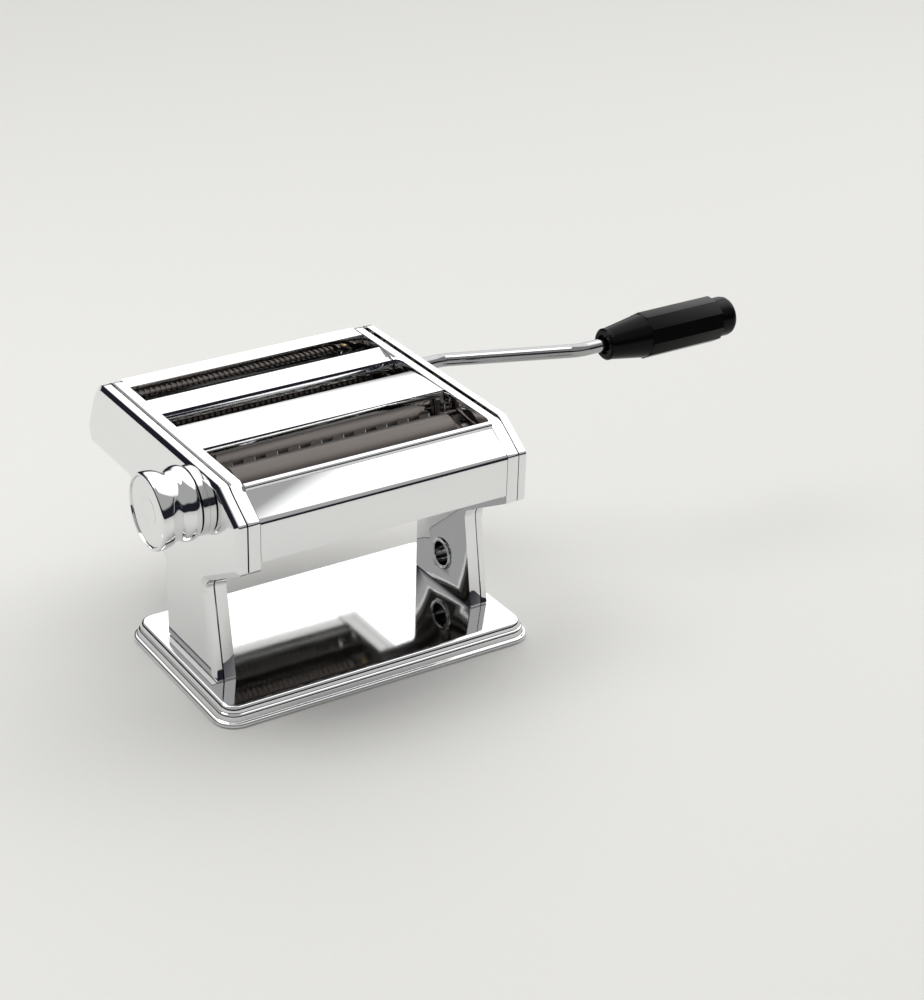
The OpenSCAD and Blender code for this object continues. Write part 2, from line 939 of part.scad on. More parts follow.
// Where the discs of a cutter sit: the second of a pair is moved by half a pitch.
function disc_places(noodle, shifted) = [
    for (x = [-barrel_x + noodle * (shifted ? 2 : 1) : 2 * noodle : barrel_x - noodle * 0.9]) x
];

comb_t = 1;
comb_off = 4.5;
comb_side_gap = 0.5;
comb_drop = 18;

// A toothed strip under a cutter: each tooth reaches into one groove.
module comb(y, noodle, shifted) {
    places = disc_places(noodle, !shifted);
    half = noodle / 2 + disc_gap - comb_side_gap;
    low = axis_z - comb_drop;
    shoulder = axis_z - sqrt(cutter_r * cutter_r - comb_off * comb_off) - 1;
    tip = axis_z - sqrt(groove_r * groove_r - comb_off * comb_off) - free_gap - 0.3;
    translate([0, y + comb_t / 2, 0])
        rotate([90, 0, 0])
            linear_extrude(comb_t)
                polygon(concat(
                    [[wall_x, low], [wall_x, shoulder]],
                    [
                        for (i = [0 : len(places) - 1])
                            let (x = places[len(places) - 1 - i])
                            each [[x + half, shoulder], [x + half, tip], [x - half, tip], [x - half, shoulder]]
                    ],
                    [[-wall_x, shoulder], [-wall_x, low]]
                ));
}

module comb_pair(mid_y, noodle) {
    comb(mid_y - cutter_cd / 2 - comb_off, noodle, false);
    comb(mid_y + cutter_cd / 2 + comb_off, noodle, true);
}

module wide_combs() {
    color("silver")
        comb_pair(wide_y, wide_noodle);
}

module fine_combs() {
    color("silver")
        comb_pair(fine_y, fine_noodle);
}

// ---- Rollers, cutters and gears -------------------------------------------------------

plain_end_x = gear_end_x + 0.5;
left_end_x = bush_end_x + 0.6;

// Radius and station of each step of a driven roller's right end.
function drive_steps() = [[drive_r, barrel_x], [drive_r, drive_end_x], [0, drive_end_x]];
function plain_steps(r) = [[r, barrel_x], [r, plain_end_x], [0, plain_end_x]];
function left_steps(r) = [[0, -left_end_x], [r, -left_end_x], [r, -barrel_x]];

module smooth_roller(y, left, right) {
    turned_x(y, axis_z)
        polygon(concat(left, [[smooth_r, -barrel_x], [smooth_r, barrel_x]], right));
}

slot_depth = 4;

// Cuts the slot for the crank's cross pin across a shaft's end.
module cross_slot(y, turn) {
    translate([drive_end_x, y, axis_z])
        rotate([turn, 0, 0])
            translate([-slot_depth, -1.4, -drive_r - over])
                cube([slot_depth + over, 2.8, 2 * (drive_r + over)]);
}

module drive_socket(y, turn) {
    rod_x(drive_end_x - socket_depth, drive_end_x + over, y, axis_z, socket_r);
    cross_slot(y, turn);
}

module smooth_roller_front() {
    color("darkgray")
        difference() {
            smooth_roller(front_roller_y, left_steps(smooth_journal_r), drive_steps());
            drive_socket(front_roller_y, 0);
        }
}

module smooth_roller_rear() {
    color("darkgray")
        smooth_roller(knob_y, left_steps(smooth_journal_r), plain_steps(smooth_journal_r));
}

// The outline of a cutter, with a disc at each place.
function cutter_outline(noodle, shifted, right) = concat(
    left_steps(journal_r),
    [[groove_r, -barrel_x]],
    [
        for (x = disc_places(noodle, shifted))
            each [
                [groove_r, x - noodle / 2 + disc_gap], [cutter_r, x - noodle / 2 + disc_gap],
                [cutter_r, x + noodle / 2 - disc_gap], [groove_r, x + noodle / 2 - disc_gap]
            ]
    ],
    [[groove_r, barrel_x]],
    right
);

module driven_cutter(mid_y, noodle, turn) {
    y = mid_y - cutter_cd / 2;
    color("silver")
        difference() {
            turned_x(y, axis_z)
                polygon(cutter_outline(noodle, false, drive_steps()));
            drive_socket(y, turn);
        }
}

module following_cutter(mid_y, noodle) {
    color("silver")
        turned_x(mid_y + cutter_cd / 2, axis_z)
            polygon(cutter_outline(noodle, true, plain_steps(journal_r)));
}

module wide_cutter_front() {
    driven_cutter(wide_y, wide_noodle, 0);
}

module wide_cutter_rear() {
    following_cutter(wide_y, wide_noodle);
}

module fine_cutter_front() {
    driven_cutter(fine_y, fine_noodle, 90 - crank_angle);
}

module fine_cutter_rear() {
    following_cutter(fine_y, fine_noodle);
}

function involute(a) = (tan(a) - a * PI / 180) * 180 / PI;

// Half the angle that a tooth takes at radius r.
function tooth_half(r, pitch_r, base_r) =
    90 / gear_teeth - tooth_slack / 2 / pitch_r * 180 / PI
    + involute(pressure_angle) - involute(acos(min(base_r / r, 1)));

// One tooth's flank, from its foot to its tip, as (radius, half angle).
function flank(pitch_r, foot_r, tip_r) =
    let (base_r = pitch_r * cos(pressure_angle), start_r = max(base_r, foot_r))
    concat(
        foot_r < base_r ? [[foot_r, tooth_half(base_r, pitch_r, base_r)]] : [],
        [
            for (k = [0 : 3])
                let (r = start_r + (tip_r - start_r) * k / 3)
                [r, tooth_half(r, pitch_r, base_r)]
        ]
    );

function polar(r, a) = [r * cos(a), r * sin(a)];

function gear_outline(pitch_r, foot_r, tip_r) =
    let (f = flank(pitch_r, foot_r, tip_r), n = len(f))
    [
        for (t = [0 : gear_teeth - 1])
            each concat(
                [for (k = [0 : n - 1]) polar(f[k][0], t * 360 / gear_teeth - f[k][1])],
                [for (k = [0 : n - 1]) polar(f[n - 1 - k][0], t * 360 / gear_teeth + f[n - 1 - k][1])]
            )
    ];

// A gear whose teeth are turned by half a pitch where it is the second of a pair.
module gear(y, centre_distance, tooth_high, tooth_deep, bore_r, second) {
    pitch_r = centre_distance / 2;
    module_mm = centre_distance / gear_teeth;
    difference() {
        translate([0, y, axis_z])
            rotate([second ? 180 / gear_teeth : 0, 0, 0])
                along_x(gear_x, gear_end_x)
                    polygon(gear_outline(
                        pitch_r, pitch_r - tooth_deep * module_mm, pitch_r + tooth_high * module_mm
                    ));
        rod_x(gear_x - over, gear_end_x + over, y, axis_z, bore_r + seat_gap);
    }
}

module smooth_gear_front() {
    color("darkgray")
        gear(front_roller_y, smooth_cd_min, 1, 1.15, drive_r, false);
}

module smooth_gear_rear() {
    color("darkgray")
        gear(knob_y, smooth_cd_min, 1, 1.15, smooth_journal_r, true);
}

module cutter_gear(y, bore_r, second) {
    color("darkgray")
        gear(y, cutter_cd, 0.8, 1, bore_r, second);
}

module wide_gear_front() {
    cutter_gear(wide_y - cutter_cd / 2, drive_r, false);
}

module wide_gear_rear() {
    cutter_gear(wide_y + cutter_cd / 2, journal_r, true);
}

module fine_gear_front() {
    cutter_gear(fine_y - cutter_cd / 2, drive_r, false);
}

module fine_gear_rear() {
    cutter_gear(fine_y + cutter_cd / 2, journal_r, true);
}

// ---- Gap adjuster ---------------------------------------------------------------------

plate_x = web_x + 0.3;
plate_t = 2.4;
plate_half_z = 9;
plate_front = 16.5;
plate_rear = 9;
cam_x = gear_x + 0.6;
cam_t = 4;
cam_pin_r = 2.2;
cam_slot_half = cam_pin_r + 0.12;
cam_rest_r = 12.6;
cam_disc_r = cam_rest_r + close_travel + cam_slot_half + 2.2;

module carriage_plate(with_foot) {
    difference() {
        union() {
            translate([plate_x, knob_y - plate_front, axis_z - plate_half_z])
                cube([plate_t, plate_front + plate_rear, 2 * plate_half_z]);
            translate([plate_x, knob_y - 5.5, bar_z - 5])
                cube([plate_t, 11, axis_z - plate_half_z - bar_z + 5]);
        }
        rod_x(plate_x - over, plate_x + plate_t + over, knob_y, axis_z, smooth_journal_r + run_gap);
        rod_x(plate_x - over, plate_x + plate_t + over, knob_y, bar_z, bar_r + seat_gap);
        if (with_foot)
            rod_x(
                plate_x - over, plate_x + plate_t + over, knob_y - cam_rest_r, axis_z,
                cam_pin_r + seat_gap
            );
    }
}

module carriage_plates() {
    color("lightsteelblue") {
        carriage_plate(false);
        mirror([1, 0, 0])
            carriage_plate(true);
    }
}

module carriage_bar() {
    color("silver")
        rod_x(-plate_x - plate_t, plate_x + plate_t, knob_y, bar_z, bar_r);
}

module carriage_pin() {
    color("silver")
        rod_x(-cam_x - cam_t + 0.3, -plate_x, knob_y - cam_rest_r, axis_z, cam_pin_r);
}

// Strips above and below the plates, on the side walls, that keep them level.
module carriage_guides() {
    guide_gap = 0.15;
    guide_h = 3;
    color("lightsteelblue")
        both_sides() {
            translate([web_x, knob_y - plate_front - 1, axis_z + plate_half_z + guide_gap])
                cube([plate_t, plate_front + plate_rear + 2, guide_h]);
            translate([web_x, knob_y - plate_front - 1, axis_z - plate_half_z - guide_gap - guide_h])
                cube([plate_t, plate_front - 5.5 - close_travel - free_gap + 1, guide_h]);
        }
}

// Distance of the slot's middle from the axis, where the cam is turned by a.
// Turning the knob to open the gap brings a smaller radius to the pin.
function cam_radius(a) = cam_rest_r + cam_rate * min(max(a, -open_clicks * click_angle), rest_click * click_angle);

function cam_point(a, d) = [
    knob_y - (cam_radius(a) + d) * cos(a), axis_z + (cam_radius(a) + d) * sin(a)
];

module gap_cam() {
    spare = 12.5;
    low = -open_clicks * click_angle - spare;
    high = rest_click * click_angle + spare;
    steps = 56;
    color("silver")
        difference() {
            rod_x(-cam_x - cam_t, -cam_x, knob_y, axis_z, cam_disc_r);
            rod_x(-cam_x - cam_t - over, -cam_x + over, knob_y, axis_z, shaft_r + seat_gap);
            along_x(-cam_x - cam_t - over, -cam_x + over)
                polygon(concat(
                    [for (k = [0 : steps]) cam_point(low + (high - low) * k / steps, cam_slot_half)],
                    [for (k = [0 : steps]) cam_point(high - (high - low) * k / steps, -cam_slot_half)]
                ));
        }
}

module dial_boss() {
    bore = shaft_r + run_gap;
    color("silver")
        difference() {
            union() {
                rod_x(-boss_x, -outer_x, knob_y, axis_z, boss_r);
                rod_x(-outer_x, -cam_x - cam_t - 0.5, knob_y, axis_z, bore + tube_wall);
            }
            rod_x(-boss_x - over, -cam_x, knob_y, axis_z, bore);
            ring_x(
                -boss_x - over, -boss_x + track_depth, knob_y, axis_z,
                track_r + track_half, track_r - track_half
            );
            for (i = [0 : click_count])
                translate([0, knob_y, axis_z])
                    rotate([-i * click_angle, 0, 0])
                        rod_x(-boss_x, -boss_x + track_depth + 0.6, 0, track_r, 1.4);
        }
}

module adjuster_shaft() {
    color("silver")
        rod_x(-boss_x - washer_s, -cam_x, knob_y, axis_z, shaft_r);
}

module spring_washer() {
    color("silver")
        ring_x(-boss_x - washer_s - 1.2, -boss_x - washer_s, knob_y, axis_z, spring_pocket_r - free_gap, 1.6);
}

module spring_screw() {
    color("silver") {
        rod_x(-boss_x - washer_s - 2.4, -boss_x - washer_s - 1.2, knob_y, axis_z, 3.4);
        rod_x(-boss_x - washer_s - 1.2, -boss_x - washer_s, knob_y, axis_z, 1.6 - seat_gap);
    }
}

// A coil spring along X, as one swept tube.
module coil(x0, x1, y, z, coil_r, wire_r, turns) {
    around = 8;
    steps = turns * 16;
    rings = [
        for (i = [0 : steps])
            let (a = 360 * turns * i / steps, x = x0 + (x1 - x0) * i / steps)
            [
                for (k = [0 : around - 1])
                    let (b = 360 * k / around, r = coil_r + wire_r * cos(b))
                    [x + wire_r * sin(b), y + r * cos(a), z + r * sin(a)]
            ]
    ];
    polyhedron(
        points = [for (r = rings) each r],
        faces = concat(
            [[for (k = [0 : around - 1]) around - 1 - k]],
            [
                for (i = [0 : steps - 1], k = [0 : around - 1])
                    [
                        i * around + k, i * around + (k + 1) % around,
                        (i + 1) * around + (k + 1) % around, (i + 1) * around + k
                    ]
            ],
            [[for (k = [0 : around - 1]) steps * around + k]]
        )
    );
}

wire_r = 0.7;

module knob_spring() {
    color("silver")
        coil(
            -boss_x - washer_s + wire_r + 0.1, -boss_x - shoulder_s - wire_r - 0.1,
            knob_y, axis_z, spring_pocket_r - wire_r - 0.8, wire_r, 4
        );
}

// The knob's outer line: radius below the largest, and distance from the boss.
knob_line = [
    [2.6, 0], [1.6, 1], [0.9, 3.4], [0.9, 6.6], [1.6, 9.6], [2.4, 12.2],
    [1.6, 14.8], [0.3, 17.6], [0, 20.4], [0.2, 23.4], [1, 25.4], [2, 25.9]
];

module knob() {
    length = knob_l - knob_gap;
    stretch = (length - 0.6) / 25.9;
    color("silver")
        difference() {
            translate([-boss_x - knob_gap, 0, 0])
                mirror([1, 0, 0])
                    turned_x(knob_y, axis_z)
                        polygon(concat(
                            [[0, 0]],
                            [for (p = knob_line) [knob_r - p[0], p[1] * stretch]],
                            [[0, length - 0.6]]
                        ));
            rod_x(-boss_x - knob_l, -boss_x, knob_y, axis_z, shaft_r + run_gap);
            rod_x(-boss_x - knob_l, -boss_x - shoulder_s, knob_y, axis_z, spring_pocket_r);
            rod_x(-boss_x - knob_l, -boss_x - knob_l + cap_t, knob_y, axis_z, cap_r + seat_gap);
            rod_x(
                -boss_x - shoulder_s + 1, -boss_x, knob_y, axis_z + track_r, 1.5 + seat_gap
            );
        }
}

module knob_cap() {
    dish_r = 9;
    color("whitesmoke")
        translate([-boss_x - knob_l + cap_t, 0, 0])
            mirror([1, 0, 0])
                turned_x(knob_y, axis_z)
                    polygon([
                        [0, 0], [cap_r, 0], [cap_r, cap_t - 1.6], [cap_r - 0.5, cap_t - 0.6],
                        [cap_r - 1.6, cap_t], [dish_r, cap_t], [dish_r - 0.8, cap_t - 0.8],
                        [0, cap_t - 0.8]
                    ]);
}

module detent_pin() {
    color("silver")
        rod_x(
            -boss_x - shoulder_s + 1.2, -boss_x + track_depth - 0.4, knob_y, axis_z + track_r, 1.5
        );
}

// ---- Crank ----------------------------------------------------------------------------

// Places a shape drawn with X along the rollers and Y along the crank's throw.
module crank_frame() {
    translate([0, crank_y, axis_z])
        rotate([180 - crank_angle, 0, 0])
            children();
}

// The bends are a hair thinner than the straight lengths, which run a little way into them.
bend_slim = 0.02;
bend_lap = 0.3;

module straight(x, y, angle, before, length) {
    translate([x, y, 0])
        rotate([0, 0, angle])
            translate([-before, 0, 0])
                rotate([0, 90, 0])
                    cylinder(h = before + length, r = rod_r);
}

module bend(x, y, start) {
    translate([x, y, 0])
        rotate([0, 0, start])
            rotate_extrude(angle = arm_angle)
                translate([bend_r, 0])
                    circle(r = rod_r - bend_slim);
}

module crank_rod() {
    arm_l = norm([crank_run, crank_throw]) - 2 * bend_t;
    color("gainsboro")
        crank_frame() {
            straight(rod_tip_x, 0, 0, 0, crank_x1 - bend_t - rod_tip_x + bend_lap);
            bend(crank_x1 - bend_t, bend_r, -90);
            straight(
                crank_x1 + bend_t * cos(arm_angle), bend_t * sin(arm_angle),
                arm_angle, bend_lap, arm_l + bend_lap
            );
            bend(crank_x2 + bend_t, crank_throw - bend_r, 90);
            straight(
                crank_x2 + bend_t, crank_throw, 0,
                bend_lap, grip_end_x + washer_gap - crank_x2 - bend_t
            );
        }
}

module crank_pin() {
    color("silver")
        crank_frame()
            for (way = [-1, 1])
                translate([pin_x, way * (rod_r - 0.01), 0])
                    rotate([-way * 90, 0, 0])
                        cylinder(h = drive_r - rod_r - 0.3, r = 1.1);
}

washer_gap = 0.2;

module grip_frame() {
    crank_frame()
        translate([grip_x, crank_throw, 0])
            rotate([0, 90, 0])
                children();
}

module grip_washer() {
    color("silver")
        grip_frame()
            translate([0, 0, grip_l + washer_gap])
                cylinder(h = 1.4, r = 8);
}

module crank_grip() {
    nose_r = 10.6;
    cone_l = 30;
    facets = 10;
    bore_r = rod_r + socket_gap;
    color("black")
        grip_frame()
            difference() {
                union() {
                    rotate_extrude()
                        polygon([
                            [0, 0], [nose_r - 1.2, 0], [nose_r, 1.2], [nose_r, 4],
                            [grip_r - 0.9, cone_l], [0, cone_l]
                        ]);
                    translate([0, 0, cone_l])
                        cylinder(h = grip_l - cone_l, r = grip_r, $fn = facets);
                }
                translate([0, 0, -over])
                    cylinder(h = grip_l + 2 * over, r = bore_r);
                translate([0, 0, -over])
                    cylinder(h = over + 2.5, r = bore_r + 2);
            }
}

module grip_cap() {
    outer = grip_r - 2.3;
    pocket_r = 8.4;
    color("black")
        grip_frame()
            translate([0, 0, grip_l])
                rotate_extrude()
                    polygon([
                        [pocket_r, 0], [outer, 0], [outer, cap_l - 4.5], [outer - 0.5, cap_l - 2.4],
                        [outer - 1.8, cap_l - 0.8], [outer - 3.6, cap_l], [0, cap_l],
                        [0, 2.1], [pocket_r, 2.1]
                    ]);
}

base_tray();
base_feet();
base_screws();
leg_brackets();
left_inner_frame();
right_inner_frame();
left_outer_cover();
right_outer_cover();
front_panel();
rear_panel();
centre_cover();
feed_guide();
panel_screws();
tie_rods();
tie_rod_nuts();
cover_studs();
stud_screws();
left_bushes();
right_bushes();
socket_collars();
clamp_sleeve();
smooth_end_guards();
cutter_end_guards();
front_scraper();
wide_combs();
fine_combs();
dial_boss();
carriage_guides();
smooth_roller_front();
smooth_gear_front();
carriage_plates();
carriage_bar();
carriage_pin();
rear_scraper();
smooth_roller_rear();
smooth_gear_rear();
wide_cutter_front();
wide_gear_front();
wide_cutter_rear();
wide_gear_rear();
fine_cutter_front();
fine_gear_front();
fine_cutter_rear();
fine_gear_rear();
adjuster_shaft();
gap_cam();
spring_washer();
spring_screw();
knob_spring();
knob();
knob_cap();
detent_pin();
crank_rod();
crank_pin();
grip_washer();
crank_grip();
grip_cap();
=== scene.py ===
import json
import math

import bpy
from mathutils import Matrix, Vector


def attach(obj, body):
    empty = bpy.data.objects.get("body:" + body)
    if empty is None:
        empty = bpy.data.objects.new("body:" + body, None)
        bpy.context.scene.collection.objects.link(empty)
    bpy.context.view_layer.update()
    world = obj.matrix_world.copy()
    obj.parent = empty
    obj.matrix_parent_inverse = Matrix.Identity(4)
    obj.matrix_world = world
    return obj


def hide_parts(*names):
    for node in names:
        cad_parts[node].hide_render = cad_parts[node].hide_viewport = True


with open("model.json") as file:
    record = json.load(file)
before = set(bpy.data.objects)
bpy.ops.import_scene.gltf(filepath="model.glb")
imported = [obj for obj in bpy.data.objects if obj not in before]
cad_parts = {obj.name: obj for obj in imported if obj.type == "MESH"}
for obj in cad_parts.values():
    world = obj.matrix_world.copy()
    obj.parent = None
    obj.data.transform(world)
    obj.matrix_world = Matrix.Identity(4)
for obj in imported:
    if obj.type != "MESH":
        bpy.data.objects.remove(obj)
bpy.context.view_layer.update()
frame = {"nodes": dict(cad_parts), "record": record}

MM = 0.001
RIGHT_ANGLE = math.pi / 2
FLOOR_SIZE = 8


# ---- Camera, floor and light ----------------------------------------------------------

CAMERA_PLACE = Vector((-0.6093, -1.0685, 0.7362))
CAMERA_TARGET = Vector((0.0001, -0.0001, 0.0822))
LENS = 80.8
SENSOR_WIDTH = 36
SHIFT = (0.1315, 0.0217)
FAR_LIMIT = 20


def deselect():
    bpy.ops.object.select_all(action="DESELECT")


def pick(thing):
    deselect()
    thing.select_set(True)
    bpy.context.view_layer.objects.active = thing


def add_camera():
    camera = bpy.data.cameras.new("camera")
    camera.lens = LENS
    camera.sensor_width = SENSOR_WIDTH
    camera.shift_x, camera.shift_y = SHIFT
    camera.clip_end = FAR_LIMIT
    holder = bpy.data.objects.new("camera", camera)
    holder.location = CAMERA_PLACE
    holder.rotation_euler = (CAMERA_TARGET - CAMERA_PLACE).to_track_quat("-Z", "Y").to_euler()
    bpy.context.scene.collection.objects.link(holder)
    bpy.context.scene.camera = holder


def add_softbox(name, place, aim, size, power):
    light = bpy.data.lights.new(name, "AREA")
    light.shape = "RECTANGLE"
    light.size, light.size_y = size
    light.energy = power
    holder = bpy.data.objects.new(name, light)
    holder.location = place
    holder.rotation_euler = (Vector(aim) - Vector(place)).to_track_quat("-Z", "Y").to_euler()
    bpy.context.scene.collection.objects.link(holder)


class Signal:
    """A shader output that Python's operators act on."""

    def __init__(self, finish, socket):
        self.finish = finish
        self.socket = socket

    def maths(self, operation, first, second):
        return self.finish.node("ShaderNodeMath", {"operation": operation}, {0: first, 1: second})

    def __add__(self, other):
        return self.maths("ADD", self, other)

    def __mul__(self, other):
        return self.maths("MULTIPLY", self, other)

    __radd__ = __add__
    __rmul__ = __mul__


class Finish:
    """A material, or the world's shader, under construction."""

    def __init__(self, name, world=False):
        if world:
            self.material = bpy.data.worlds.new(name)
        else:
            self.material = bpy.data.materials.new(name)
        self.material.use_nodes = True
        self.tree = self.material.node_tree
        self.shader = self.tree.nodes["Background" if world else "Principled BSDF"]
        self.place = self.node("ShaderNodeTexCoord", {}, {}, "Generated" if world else "Object")

    def feed(self, socket, value):
        if isinstance(value, Signal):
            self.tree.links.new(value.socket, socket)
        else:
            socket.default_value = value

    def node(self, kind, settings, inputs, output=0):
        made = self.tree.nodes.new(kind)
        for name, value in settings.items():
            if name == "stops":
                ramp = made.color_ramp.elements
                while len(ramp) < len(value):
                    ramp.new(0.5)
                for element, (position, tone) in zip(ramp, value):
                    element.position = position
                    element.color = (*tone, 1)
            else:
                setattr(made, name, value)
        for name, value in inputs.items():
            self.feed(made.inputs[name], value)
        return Signal(self, made.outputs[output])

    def noise(self, scale, detail=3, stretch=(1, 1, 1), roughness=0.5):
        stretched = self.node(
            "ShaderNodeMapping", {}, {"Vector": self.place, "Scale": stretch}
        )
        return self.node(
            "ShaderNodeTexNoise", {},
            {"Vector": stretched, "Scale": scale, "Detail": detail, "Roughness": roughness},
        )

    def mix(self, amount, low, high):
        """A colour between two, by amount."""
        made = self.tree.nodes.new("ShaderNodeMix")
        made.data_type = "RGBA"
        self.feed(made.inputs[0], amount)
        self.feed(made.inputs[6], (*low, 1))
        self.feed(made.inputs[7], (*high, 1))
        return Signal(self, made.outputs[2])

    def limit(self, value, low, high):
        """Spreads the stretch from low to high over 0 to 1."""
        return self.node(
            "ShaderNodeMapRange", {},
            {"Value": value, "From Min": low, "From Max": high},
        )

    def bump(self, height, depth, strength):
        return self.node(
            "ShaderNodeBump", {}, {"Height": height, "Distance": depth, "Strength": strength}
        )

    def surface(self, **sockets):
        for name, value in sockets.items():
            self.feed(self.shader.inputs[name.replace("_", " ")], value)
        return self.material


def grey(value):
    return (value, value, value)


SKY_MIDDLE = Vector((0.5, 0.4, 0.77)).normalized()


def add_world():
    """A studio: dark round the horizon, dim above, with a broad ceiling panel over the machine."""
    room = Finish("studio_room", world=True)
    near_middle = room.node(
        "ShaderNodeVectorMath", {"operation": "DOT_PRODUCT"}, {0: room.place, 1: SKY_MIDDLE}, "Value"
    )
    height = room.node("ShaderNodeSeparateXYZ", {}, {"Vector": room.place}, "Z")
    dim_ceiling = room.limit(height, 0.34, 0.43) * 0.4
    bright_panel = room.limit(near_middle, 0.64, 0.76)
    brightest = dim_ceiling.maths("MAXIMUM", dim_ceiling, bright_panel)
    tone = room.node(
        "ShaderNodeValToRGB",
        {"stops": [(0.0, (0.009, 0.009, 0.014)), (0.4, grey(0.25)), (1.0, grey(0.95))]},
        {"Fac": brightest},
    )
    room.feed(room.shader.inputs["Color"], tone)
    room.feed(room.shader.inputs["Strength"], 1.65)
    bpy.context.scene.world = room.material
    bpy.context.scene.view_settings.view_transform = "Standard"


def floor_finish():
    paper = Finish("floor_paper")
    grain = paper.noise(400, 4)
    return paper.surface(
        Base_Color=paper.mix(grain, (0.74, 0.735, 0.71), (0.77, 0.765, 0.74)),
        Roughness=0.75,
        Normal=paper.bump(grain, 0.0001, 0.2),
    )


def add_floor():
    bpy.ops.mesh.primitive_plane_add(size=FLOOR_SIZE, location=(0, 0, 0))
    floor = bpy.context.object
    floor.name = "floor"
    floor.data.materials.append(floor_finish())


# ---- Finishes -------------------------------------------------------------------------

def mirror_chrome(name, tone=0.86, blur=0.05):
    """Chrome plate with a faint polishing haze and hairlines."""
    plate = Finish(name)
    haze = plate.noise(35, 3)
    hairline = plate.noise(220, 4, (1, 14, 14), 0.65)
    wave = plate.noise(9, 1)
    return plate.surface(
        Base_Color=plate.mix(haze, (tone * 0.96, tone * 0.965, tone * 0.975), (tone, tone, tone)),
        Metallic=1.0,
        Roughness=haze * 0.03 + hairline * 0.025 + (blur - 0.025),
        Normal=plate.bump(wave * 0.9 + hairline * 0.02, 0.0004, 0.35),
    )


def turned_steel(name, tone=(0.135, 0.12, 0.112), blur=0.36):
    """Ground steel: fine marks that run round the roller, so they change only along X. The default tone
    is painted shade: it is far darker than bare ground steel.
    """
    steel = Finish(name)
    rings = steel.noise(90, 5, (40, 0.4, 0.4), 0.7)
    stain = steel.noise(28, 4)
    return steel.surface(
        Base_Color=steel.mix(stain * 0.6 + rings * 0.4, tuple(0.82 * c for c in tone), tone),
        Metallic=1.0,
        Roughness=rings * 0.16 + stain * 0.08 + (blur - 0.12),
        Normal=steel.bump(rings, 0.00006, 0.5),
    )


def plated_steel(name):
    zinc = Finish(name)
    spangle = zinc.node("ShaderNodeTexVoronoi", {}, {"Vector": zinc.place, "Scale": 700})
    cloud = zinc.noise(60, 4)
    return zinc.surface(
        Base_Color=zinc.mix(cloud, (0.26, 0.26, 0.255), (0.38, 0.38, 0.37)),
        Metallic=1.0,
        Roughness=cloud * 0.18 + spangle * 0.1 + 0.22,
        Normal=zinc.bump(cloud + spangle * 0.3, 0.00005, 0.4),
    )


def machined_brass(name):
    brass = Finish(name)
    rings = brass.noise(120, 4, (12, 1, 1))
    return brass.surface(
        Base_Color=brass.mix(rings, (0.26, 0.19, 0.09), (0.38, 0.29, 0.15)),
        Metallic=1.0,
        Roughness=rings * 0.2 + 0.22,
        Normal=brass.bump(rings, 0.00004, 0.4),
    )


def moulded_black(name):
    """Hard black plastic with a fine moulded grain and rubbed high spots."""
    tone, blur = 0.003, 0.2
    plastic = Finish(name)
    grain = plastic.noise(1600, 3)
    rub = plastic.noise(70, 4)
    worn = plastic.limit(rub, 0.55, 0.8)
    return plastic.surface(
        Base_Color=plastic.mix(worn, grey(tone), grey(tone * 2.2)),
        Roughness=grain * 0.10 + worn * -0.08 + (blur - 0.03),
        Normal=plastic.bump(grain, 0.00005, 0.35),
        Specular_IOR_Level=0.1,
    )


def foot_rubber(name):
    rubber = Finish(name)
    grain = rubber.noise(900, 4)
    return rubber.surface(
        Base_Color=rubber.mix(grain, grey(0.03), grey(0.06)),
        Roughness=grain * 0.2 + 0.65,
        Normal=rubber.bump(grain, 0.0001, 0.4),
    )


finishes = {
    "polished_chrome": mirror_chrome("polished_chrome"),
    "chrome_trim": mirror_chrome("chrome_trim", 0.82, 0.07),
    # roller_metal takes turned_steel's default tone, which is painted shade that darkens the rollers
    # below bare steel.
    "roller_metal": turned_steel("roller_metal"),
    "plated_steel": plated_steel("plated_steel"),
    "bush_brass": machined_brass("bush_brass"),
    "spring_steel": turned_steel("spring_steel", (0.4, 0.4, 0.4), 0.3),
    "grip_plastic": moulded_black("grip_plastic"),
    "foot_rubber": foot_rubber("foot_rubber"),
}

crank_steel = mirror_chrome("crank_steel", 0.42, 0.09)

slot_of = {row["node"]: row["material_slot"] for row in frame["record"]["subparts"]}
body_of = {
    node: body
    for body, nodes in frame["record"]["behaviour"]["bodies"].items()
    for node in nodes
}


# ---- Shaping --------------------------------------------------------------------------

# Points closer than this, in metres, are one point of a CAD mesh, or one point of a lofted mesh.
CAD_MERGE = 0.000002
LOFT_MERGE = 0.000001
# How far, in metres, a bend's edge may lie from its stated place.
BEND_REACH = 0.00005
BEND_STEPS = 8
EDGE_STEPS = 3
FLAT_ANGLE = math.radians(0.5)
SHARP_ANGLE = math.radians(30)
NORMAL_WEIGHT = 90
DRILL_SIDES = 96
DRILL_LENGTH = 0.03
DRILL_X = 0.1


def edit_all(thing):
    pick(thing)
    bpy.ops.object.mode_set(mode="EDIT")
    bpy.ops.mesh.select_all(action="SELECT")


def leave_edit():
    bpy.ops.object.mode_set(mode="OBJECT")


def settle(thing, node, smooth):
    """Puts a finished piece in the place of its CAD node, shaded smooth up to an angle in degrees."""
    pick(thing)
    bpy.ops.object.transform_apply(location=True, rotation=True, scale=True)
    bpy.ops.object.shade_smooth_by_angle(angle=math.radians(smooth))
    thing.data.materials.clear()
    thing.data.materials.append(finishes[slot_of[node]])
    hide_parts(node)
    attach(thing, body_of[node])


def apply_all(thing):
    pick(thing)
    for modifier in list(thing.modifiers):
        bpy.ops.object.modifier_apply(modifier=modifier.name)


